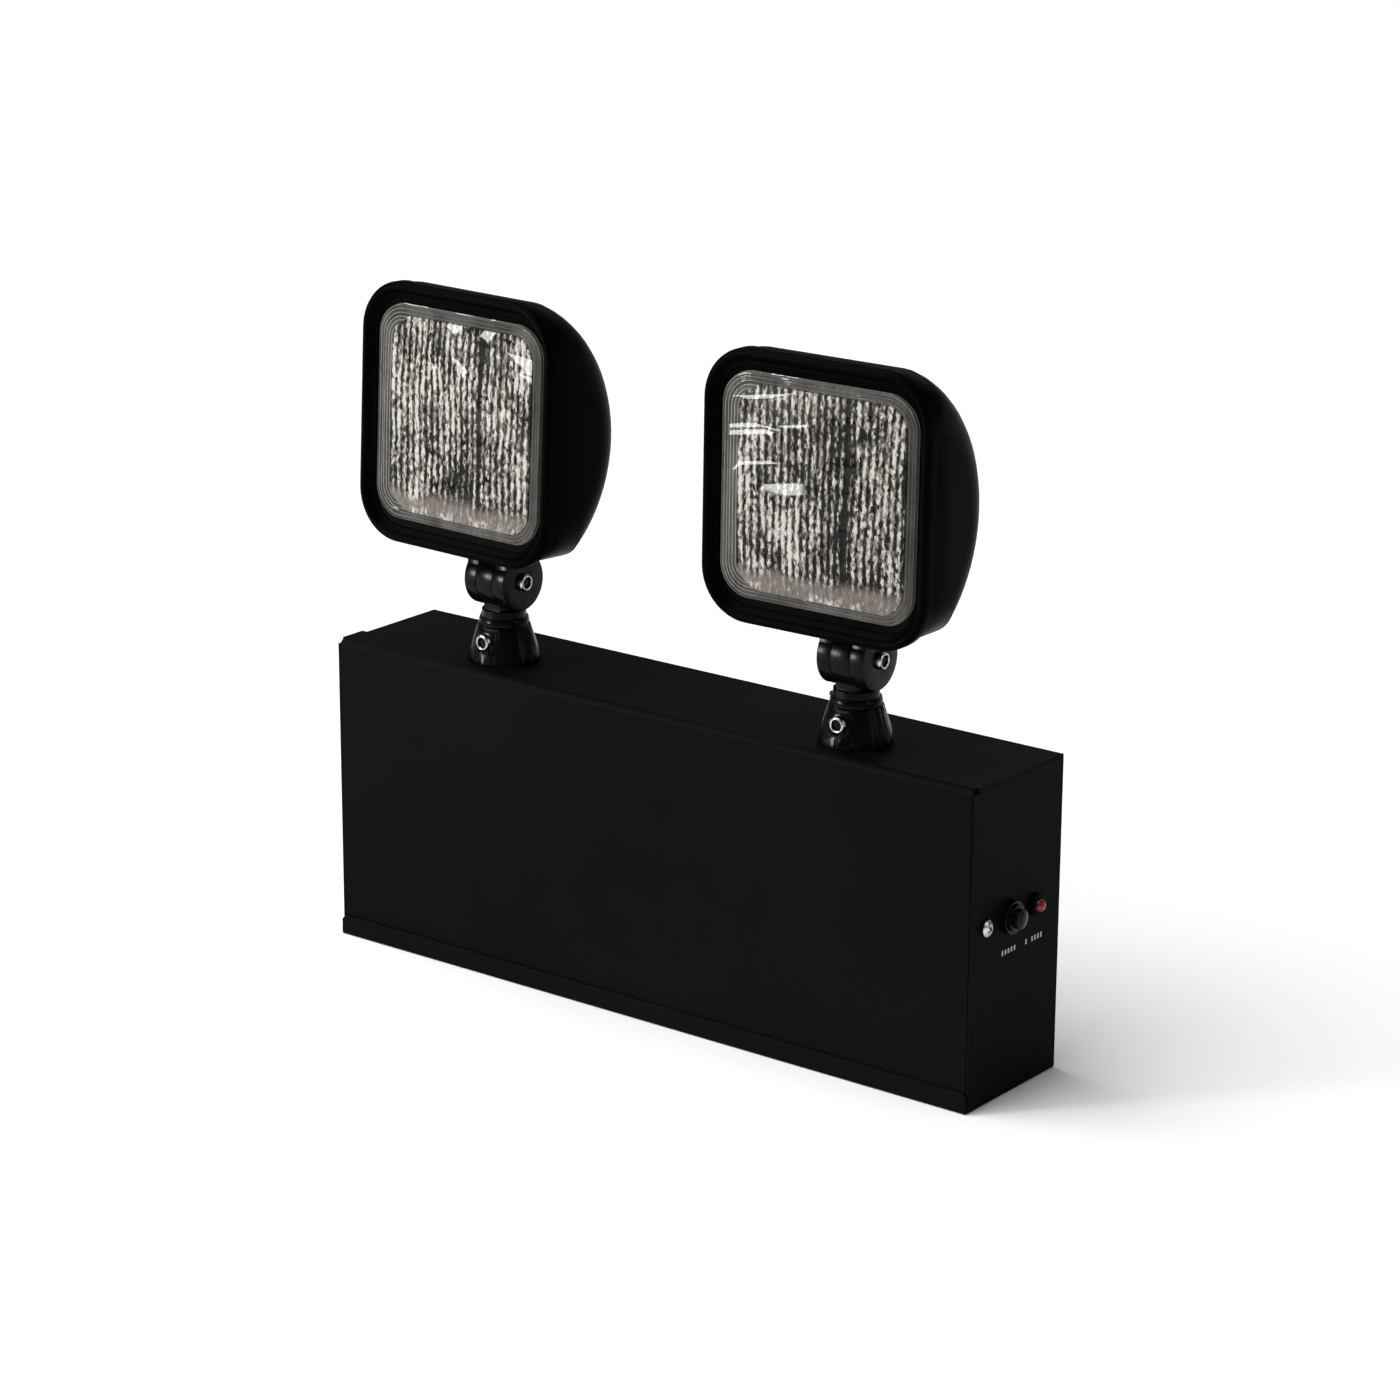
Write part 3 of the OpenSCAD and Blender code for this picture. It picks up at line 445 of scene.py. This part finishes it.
def headPlace(side):
    joint = joints[side + "_tilt"]
    axis = Vector(joint["axis"])
    pan = Vector((1, 0)).angle_signed(Vector((axis.x, axis.y)))
    return (Matrix.Translation(joint["pos_m"]) @ Matrix.Rotation(-pan, 4, "Z")
            @ Matrix.Rotation(radians(-tiltNow[side]), 4, "X"))


def putOnHeads(piece, nodeEnd):
    for side in sides:
        copy = piece.copy()
        copy.data = piece.data.copy()
        copy.name = side + "_" + piece.name
        bpy.context.scene.collection.objects.link(copy)
        copy.data.transform(headPlace(side))
        finishPiece(copy, side + "_" + nodeEnd)
    clearSelection()
    bpy.data.objects.remove(piece)


def roundedFace(name, width, height, corner, y, z, steps=12):
    # an upright face with rounded corners, looking forwards
    clearSelection()
    bpy.ops.mesh.primitive_plane_add(size=1, location=(0, y, z), rotation=(radians(90), 0, 0))
    bpy.context.object.scale = (width, height, 1)
    piece = namePiece(name)
    pick(piece, "vertex", lambda v: True)
    bpy.ops.mesh.bevel(offset=corner, segments=steps, affect="VERTICES", profile=0.5)
    leaveEdit()
    return piece


head = {"width": 118, "height": 123, "corner": 24, "forward": 38.5, "up": 78, "openHeight": 102}

# bezel: (how far in, how far behind the rim) along its section, from the outer edge to the opening
bezelSection = [(0, 7), (0, 2.6), (0.25, 1.5), (0.8, 0.6), (1.6, 0.1), (2.5, 0), (3.3, 0.25), (3.9, 0.9),
                (4.3, 2.0), (5.2, 3.1), (6.2, 4.0), (6.5, 4.1), (6.8, 4.0), (7.1, 4.2), (7.3, 4.9), (8, 5.3)]


def stepFace(inwards, back):
    if inwards > 0:
        bpy.ops.mesh.inset(thickness=inwards * mm, depth=0)
        bpy.ops.transform.translate(value=(0, back * mm, 0))
    else:
        bpy.ops.mesh.extrude_region_move(TRANSFORM_OT_translate={"value": (0, back * mm, 0)})


def makeBezel():
    rimY = -head["forward"] * mm
    piece = roundedFace("bezel", head["width"] * mm, head["height"] * mm, head["corner"] * mm,
                        rimY + bezelSection[0][1] * mm, head["up"] * mm, 16)
    pick(piece, "face", lambda f: True)
    for (wide, deep), (nextWide, nextDeep) in zip(bezelSection, bezelSection[1:]):
        stepFace(nextWide - wide, nextDeep - deep)
    # the opening is square, though the rim is a little taller than wide
    innerHeight = head["height"] - 2 * bezelSection[-1][0]
    bpy.ops.transform.resize(value=(1, 1, head["openHeight"] / innerHeight),
                             center_override=(0, rimY, head["up"] * mm))
    stepFace(0, 2.5)
    bpy.ops.mesh.delete(type="FACE")
    leaveEdit()
    # back face between the opening and the outer edge
    pick(piece, "face", lambda f: len(f.vertices) > 20)
    bpy.ops.mesh.delete(type="ONLY_FACE")
    bpy.ops.mesh.select_mode(type="EDGE")
    bpy.ops.mesh.select_all(action="DESELECT")
    bpy.ops.mesh.select_non_manifold(extend=False)
    bpy.ops.mesh.bridge_edge_loops()
    bpy.ops.mesh.select_all(action="SELECT")
    bpy.ops.mesh.normals_make_consistent(inside=False)
    leaveEdit()
    smoothShade(piece, 40)
    putOnHeads(piece, "bezel")


lens = {
    "width": 107, "height": 107, "corner": 18, "back": 7, "shoulder": 5.6, "front": 3.6,
    "crown": 1.8, "flutes": 27, "rows": 34, "fluteDeep": 0.55, "random": 0.28, "thick": 1.6,
    "frontWidth": 101, "gridExtra": 2, "trim": 9, "trimCorner": 12,
}
# the clear border's steps from its back edge inwards: (how far in, how far back)
borderSteps = ([(0, lens["shoulder"] - lens["back"]), (3, -0.1),
                (0, lens["front"] - lens["shoulder"] + 0.4), (0.3, -0.3)]
               + [(0.45, -0.1), (0.25, 0.16), (0.25, -0.16)] * 4 + [(0.6, 0.2), (0, 1.9)])


def faceMap(piece, width, height, middle):
    # 0 to 1 across and up the opening, in the head's own directions
    layer = piece.data.uv_layers.get("faceMap") or piece.data.uv_layers.new(name="faceMap")
    for loop in piece.data.loops:
        co = piece.data.vertices[loop.vertex_index].co
        layer.data[loop.index].uv = (co.x / width + 0.5, (co.z - middle) / height + 0.5)


def makeLens():
    rimY = -head["forward"]
    middle = head["up"] * mm
    # panel with flutes moulded in its inner side, a grid whose every second column stands back
    clearSelection()
    gridWidth = (lens["frontWidth"] + lens["gridExtra"]) * mm
    bpy.ops.mesh.primitive_grid_add(x_subdivisions=lens["flutes"] * 2, y_subdivisions=lens["rows"], size=1,
                                    location=(0, (rimY + lens["front"] + lens["thick"]) * mm, middle),
                                    rotation=(radians(90), 0, 0))
    bpy.context.object.scale = (gridWidth, gridWidth, 1)
    panel = namePiece("lens")
    pitch = gridWidth / (lens["flutes"] * 2)
    pick(panel, "vertex", lambda v: round(v.co.x / pitch) % 2 == 0)
    bpy.ops.transform.translate(value=(0, lens["fluteDeep"] * mm, 0))
    bpy.ops.mesh.select_all(action="SELECT")
    bpy.ops.transform.vertex_random(offset=lens["random"] * mm, uniform=0, normal=1, seed=7)
    # the outer side is drawn out of it, flattened and then slightly crowned
    frontY = (rimY + lens["front"]) * mm
    bpy.ops.mesh.extrude_region_move(TRANSFORM_OT_translate={"value": (0, -lens["thick"] * mm, 0)})
    bpy.ops.transform.resize(value=(1, 0, 1), center_override=(0, frontY, middle))
    leaveEdit()
    half = lens["frontWidth"] / 2 * mm
    for vertex in panel.data.vertices:
        if vertex.select:
            reach = min(1, ((vertex.co.x / half) ** 2 + ((vertex.co.z - middle) / half) ** 2) / 2)
            vertex.co.y -= lens["crown"] * (1 - reach) * mm
    pick(panel, "vertex", lambda v: True)
    bpy.ops.mesh.normals_make_consistent(inside=False)
    leaveEdit()
    trimmed = (lens["frontWidth"] - lens["trim"]) * mm
    cutter = roundedFace("lensCutter", trimmed, trimmed, lens["trimCorner"] * mm, (rimY - 3) * mm, middle)
    pick(cutter, "face", lambda f: True)
    bpy.ops.mesh.extrude_region_move(TRANSFORM_OT_translate={"value": (0, 14 * mm, 0)})
    bpy.ops.mesh.select_all(action="SELECT")
    bpy.ops.mesh.normals_make_consistent(inside=False)
    leaveEdit()
    applyModifier(panel, "BOOLEAN", operation="INTERSECT", object=cutter, solver="EXACT")
    clearSelection()
    bpy.data.objects.remove(cutter)
    # clear frame round it, stepped in fine rings
    border = roundedFace("lensBorder", lens["width"] * mm, lens["height"] * mm, lens["corner"] * mm,
                         (rimY + lens["back"]) * mm, middle)
    pick(border, "face", lambda f: True)
    for inwards, back in borderSteps:
        stepFace(inwards, back)
    bpy.ops.mesh.delete(type="FACE")
    leaveEdit()
    pick(border, "face", lambda f: len(f.vertices) > 20)
    bpy.ops.mesh.delete(type="ONLY_FACE")
    bpy.ops.mesh.select_mode(type="EDGE")
    bpy.ops.mesh.select_all(action="DESELECT")
    bpy.ops.mesh.select_non_manifold(extend=False)
    bpy.ops.mesh.bridge_edge_loops()
    bpy.ops.mesh.select_all(action="SELECT")
    bpy.ops.mesh.normals_make_consistent(inside=False)
    leaveEdit()
    clearSelection()
    border.select_set(True)
    panel.select_set(True)
    bpy.context.view_layer.objects.active = panel
    bpy.ops.object.join()
    smoothShade(panel, 30)
    faceMap(panel, lensLook["opening"] * mm, lensLook["opening"] * mm, middle)
    putOnHeads(panel, "lens")


# socket screws of the necks: a bright ring round a recess whose shade is painted, by a black disc at its floor

neckScrew = {
    "sides": 40, "shankPart": 0.48, "headTall": 2.6, "headSide": 1.9, "recess": 1.7,
    "ring": 1.35, "crossRing": 0.9, "cross": 0.45,
    "section": ((0.25, 0.4), (0.45, 0.3), (0.35, 0), (0.3, -0.25), (0.02, -1.3)),  # (how far in, how far out)
}


def makeNeckScrew(nodeName, axis):
    # axis points out of the screw's head
    look = neckScrew
    points = [v.co for v in frame["nodes"][nodeName].data.vertices]
    reach = [p.dot(axis) for p in points]
    outer, inner = max(reach), min(reach)
    rim = [p for p in points if p.dot(axis) > outer - 1.5 * mm]
    middle = sum(rim, Vector()) / len(rim)
    middle += axis * (outer - middle.dot(axis))
    headRadius = max((p - middle - axis * (p - middle).dot(axis)).length for p in rim)
    shankRadius = headRadius * look["shankPart"]
    headTall = look["headTall"] * mm
    length = outer - inner
    turn = axis.to_track_quat("Z", "Y").to_euler()
    clearSelection()
    bpy.ops.mesh.primitive_cylinder_add(vertices=look["sides"], radius=shankRadius, depth=length - headTall,
                                        location=middle - axis * ((length + headTall) / 2), rotation=turn)
    screw = namePiece(nodeName + "Socket")
    headFoot = middle - axis * headTall
    pick(screw, "face", lambda f: len(f.vertices) > 4 and f.normal.dot(axis) > 0.9)
    bpy.ops.mesh.extrude_region_move(TRANSFORM_OT_translate={"value": (0, 0, 0)})
    grow = headRadius / shankRadius
    bpy.ops.transform.resize(value=(grow, grow, grow), center_override=headFoot)
    bpy.ops.mesh.extrude_region_move(TRANSFORM_OT_translate={"value": axis * look["headSide"] * mm})
    for inset, rise in look["section"]:
        bpy.ops.mesh.inset(thickness=inset * mm, depth=0)
        bpy.ops.transform.translate(value=axis * rise * mm)
    leaveEdit()
    smoothShade(screw, 40)
    finishPiece(screw, nodeName, "bright_screws")
    # painted shade: a black disc at the floor of the recess stands in for the shade inside the socket, with a
    # small raised cross
    floorAt = middle - axis * (look["recess"] + 0.05) * mm
    clearSelection()
    bpy.ops.mesh.primitive_cylinder_add(vertices=24, radius=headRadius - look["ring"] * mm, depth=0.5 * mm,
                                        location=floorAt, rotation=turn)
    shadeDisc = namePiece(nodeName + "ShadeDisc")
    pick(shadeDisc, "face", lambda f: len(f.vertices) > 4 and f.normal.dot(axis) > 0.9)
    bpy.ops.mesh.inset(thickness=look["crossRing"] * mm, depth=0)
    bpy.ops.mesh.extrude_region_move(TRANSFORM_OT_translate={"value": axis * look["cross"] * mm})
    leaveEdit()
    smoothShade(shadeDisc, 30)
    finishPiece(shadeDisc, nodeName, "gloss_black_casting", standsFor=False)


for side in sides:
    tiltAxis = Vector(joints[side + "_tilt"]["axis"])
    makeNeckScrew(side + "_tilt_screw", tiltAxis)
    makeNeckScrew(side + "_base_screw", tiltAxis.cross(Vector((0, 0, 1))))
print("neck screws made")

makeBezel()
print("bezels made")
makeLens()
print("lenses made")


# right end plate: switch, pilot light and the printed marks

endFittings = {
    "nutTeeth": 28, "nutDeep": 0.35, "nutLip": 0.7, "nutBore": 6.05,
    "markHeight": 2.4, "markWidth": 1.1, "markGap": 2.4, "markThick": 0.06, "marksBelow": 16,
}
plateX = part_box("right_end_plate")[1].x


def middleOf(nodeName):
    low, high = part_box(nodeName)
    return (low + high) / 2


def makeMarks():
    # two short rows of upright dashes instead of lettering
    look = endFittings
    dashes = []
    for nodeName, count, skip in (("switch_nut", 5, ()), ("pilot_bezel", 6, (1,))):
        middle = middleOf(nodeName)
        for n in range(count):
            if n in skip:
                continue
            y = middle.y + (n - (count - 1) / 2) * look["markGap"] * mm
            clearSelection()
            bpy.ops.mesh.primitive_plane_add(size=1, location=(plateX, y, middle.z - look["marksBelow"] * mm),
                                             rotation=(radians(90), 0, radians(90)))
            bpy.context.object.scale = (look["markWidth"] * mm, look["markHeight"] * mm, 1)
            dash = namePiece("dash")
            pick(dash, "vertex", lambda v: True)
            bpy.ops.mesh.bevel(offset=0.18 * mm, segments=3, affect="VERTICES")
            leaveEdit()
            pick(dash, "face", lambda f: True)
            bpy.ops.mesh.extrude_region_move(TRANSFORM_OT_translate={"value": (look["markThick"] * mm, 0, 0)})
            bpy.ops.mesh.select_all(action="SELECT")
            bpy.ops.mesh.normals_make_consistent(inside=False)
            leaveEdit()
            dashes.append(dash)
    clearSelection()
    for dash in dashes:
        dash.select_set(True)
    bpy.context.view_layer.objects.active = dashes[0]
    bpy.ops.object.join()
    marks = bpy.context.object
    marks.name = marks.data.name = "printedMarks"
    finishPiece(marks, "right_end_plate", "printed_marks", standsFor=False)


def makeSwitchNut():
    # knurled ring: every second side face pressed in
    look = endFittings
    low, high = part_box("switch_nut")
    middle = (low + high) / 2
    outer = (high.z - low.z) / 2
    clearSelection()
    bpy.ops.mesh.primitive_cylinder_add(vertices=look["nutTeeth"] * 2, radius=outer, depth=high.x - low.x,
                                        location=middle, rotation=(0, radians(90), 0))
    nut = namePiece("switchNutKnurled")
    pick(nut, "face", lambda f: len(f.vertices) > 4)
    bpy.ops.mesh.inset(thickness=look["nutLip"] * mm, depth=0)
    bpy.ops.mesh.inset(thickness=outer - look["nutLip"] * mm - look["nutBore"] * mm, depth=0)
    bpy.ops.mesh.bridge_edge_loops()
    bpy.ops.mesh.select_all(action="DESELECT")
    leaveEdit()
    axisAt = Vector(middle[1:])
    sideFaces = [f.index for f in nut.data.polygons
                 if abs(f.normal.x) < 0.1 and (Vector(f.center[1:]) - axisAt).length > outer - 0.5 * mm]
    chosen = set(sideFaces[::2])
    pick(nut, "face", lambda f: f.index in chosen)
    bpy.ops.mesh.inset(thickness=0.12 * mm, depth=-look["nutDeep"] * mm, use_individual=True)
    leaveEdit()
    applyModifier(nut, "BEVEL", width=0.12 * mm, segments=2, limit_method="ANGLE", angle_limit=radians(50))
    smoothShade(nut, 30)
    finishPiece(nut, "switch_nut")


makeMarks()
print("printed marks made")
makeSwitchNut()
for nodeName, width in (("test_button", 0.5), ("pilot_bezel", 0.2), ("switch_body", 0.3)):
    softened(nodeName, width)
print("end fittings made")


# floor, lights and camera

studio = {
    "floorSize": 80, "floor": (0.9, 0.9, 0.9), "world": 0.2,
    "sun": {"from": (-0.45, -0.35, 1.0), "strength": 3.4, "spread": 60},
    "lights": [  # name, place, aims at, width, height, power
        ("glareStrip", (-1.3, -1.7, 0.5), (-0.05, 0, 0.27), 0.38, 0.42, 32),
        ("rightBox", (2.4, 0.5, 1.2), (0.15, 0, 0.15), 1.2, 1.2, 5),
        ("rearBox", (-0.6, 2.6, 1.7), (0, 0, 0.2), 2.0, 1.0, 6),
    ],
}
view = {"place": (1.12719, -1.46131, 0.72440), "right": (0.79299, 0.60922, 0.00495),
        "up": (-0.18583, 0.23415, 0.95428), "back": (0.5802, -0.75765, 0.29889), "lens": 107.9}


def makeFloor():
    clearSelection()
    bpy.ops.mesh.primitive_plane_add(size=studio["floorSize"], location=(0, 0, -0.3 * mm))
    floor = namePiece("studioFloor")
    finish, shader = newFinish("paleFloor", studio["floor"], 0.8, 0, 0.1)
    speck = noise(finish, objectPlace(finish), 4, 2)
    wire(finish, shader, Base_Color=blendColour(finish, speck, studio["floor"], (0.88, 0.88, 0.88)))
    floor.data.materials.append(finish)


def makeLights():
    world = bpy.data.worlds.new("studioWorld")
    bpy.context.scene.world = world
    world.use_nodes = True
    world.node_tree.nodes["Background"].inputs["Color"].default_value = (1, 1, 1, 1)
    world.node_tree.nodes["Background"].inputs["Strength"].default_value = studio["world"]
    clearSelection()
    bpy.ops.object.light_add(type="SUN", location=(0, 0, 3))
    sun = bpy.context.object
    sun.name = "softSun"
    sun.rotation_euler = Vector(studio["sun"]["from"]).to_track_quat("Z", "Y").to_euler()
    sun.data.energy, sun.data.angle = studio["sun"]["strength"], radians(studio["sun"]["spread"])
    for name, place, target, width, height, power in studio["lights"]:
        clearSelection()
        bpy.ops.object.light_add(type="AREA", location=place)
        light = bpy.context.object
        light.name = name
        light.rotation_euler = (Vector(target) - Vector(place)).to_track_quat("-Z", "Y").to_euler()
        light.data.shape = "RECTANGLE"
        light.data.size, light.data.size_y, light.data.energy = width, height, power


def makeCamera():
    clearSelection()
    bpy.ops.object.camera_add(location=view["place"])
    camera = bpy.context.object
    camera.name = "studioCamera"
    turn = Matrix((view["right"], view["up"], view["back"])).transposed()
    camera.rotation_euler = turn.to_euler()
    camera.data.lens = view["lens"]
    camera.data.sensor_width = 36
    camera.data.clip_end = 200
    bpy.context.scene.camera = camera


makeFloor()
makeLights()
makeCamera()
bpy.context.scene.view_settings.view_transform = "Standard"
print("studio ready")

clearSelection()
